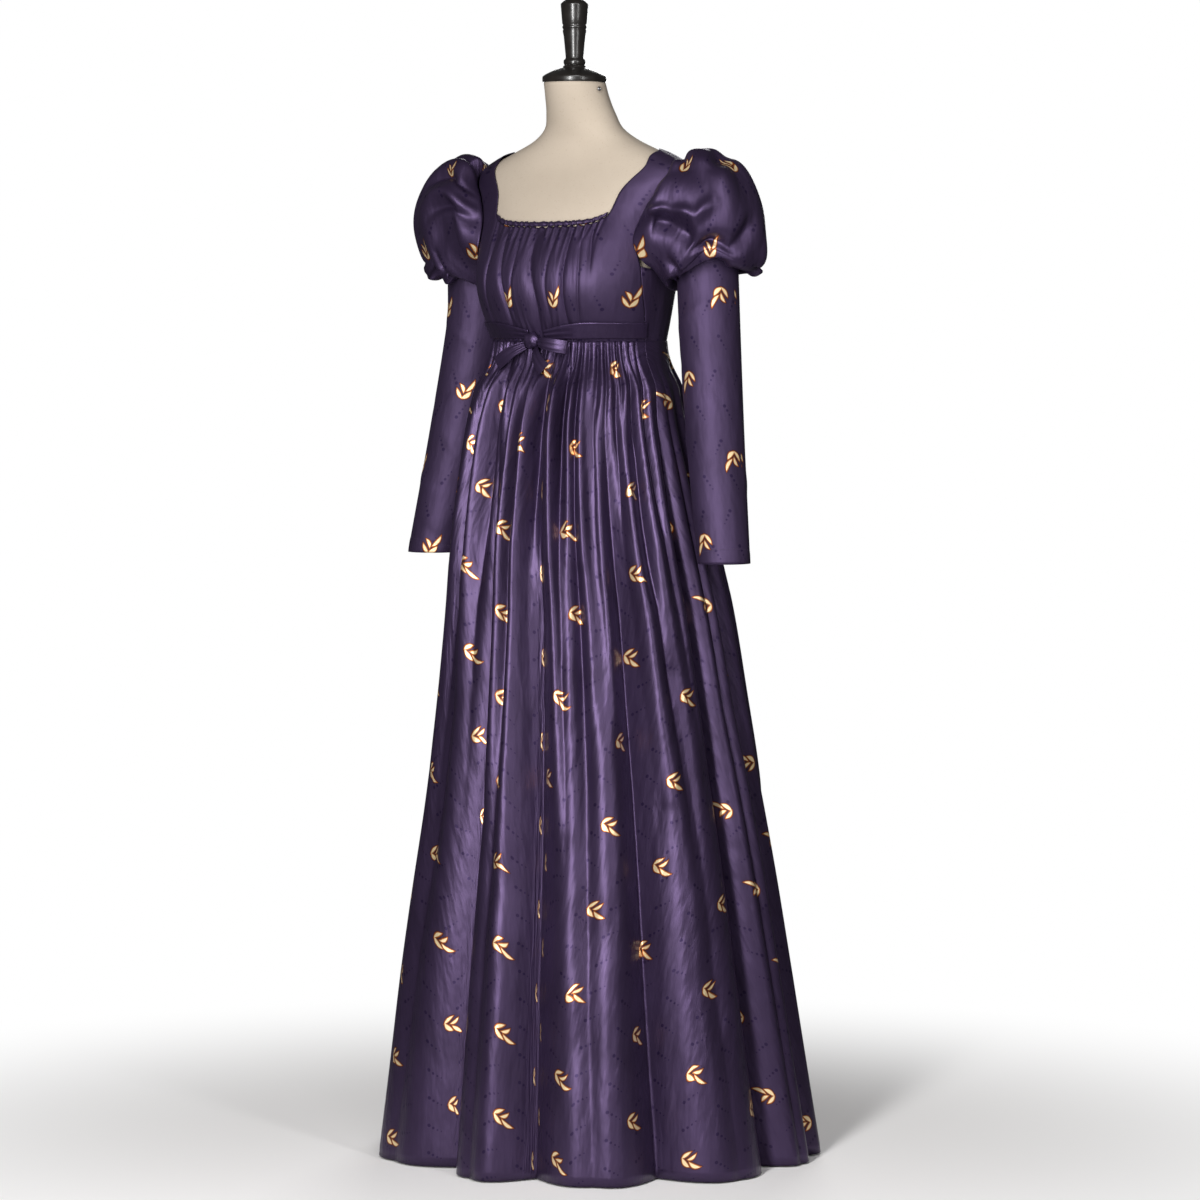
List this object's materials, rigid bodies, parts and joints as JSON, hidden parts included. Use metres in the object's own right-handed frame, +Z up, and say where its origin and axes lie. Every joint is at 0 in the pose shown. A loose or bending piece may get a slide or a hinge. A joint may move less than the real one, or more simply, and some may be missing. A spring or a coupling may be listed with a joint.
{
  "type": "ball gown on a limbless dress form",
  "caption": "High-waisted floor-length satin ball gown with puffed long sleeves, on a limbless dress form with a pole stand.",
  "frame": {"origin": "centre of the stand's underside, on the floor", "axes": "+Z up; the gown faces -Y and its left sleeve is at +X"},
  "size_m": [0.6736, 0.6529, 1.754],
  "materials": {
    "plum_satin": "printed plum satin",
    "sash_satin": "plain plum satin",
    "form_linen": "unbleached linen",
    "black_lacquer": "black lacquer",
    "stand_steel": "satin"
  },
  "bodies": {
    "root": {"bodice_front": "plum_satin", "bodice_back_left": "plum_satin", "bodice_back_right": "plum_satin", "neckline_casing": "plum_satin", "puff_left": "plum_satin", "puff_right": "plum_satin", "sleeve_left": "plum_satin", "sleeve_right": "plum_satin", "skirt_front": "plum_satin", "skirt_back": "plum_satin", "sash_left": "sash_satin", "sash_right": "sash_satin", "bow_knot": "sash_satin", "bow_loop": "sash_satin", "bow_tail_left": "sash_satin", "bow_tail_right": "sash_satin", "form_torso": "form_linen", "neck_cap": "black_lacquer", "neck_finial": "black_lacquer", "neck_stud": "stand_steel", "stand_pole": "stand_steel", "stand_base": "black_lacquer"}
  },
  "joints": []
}
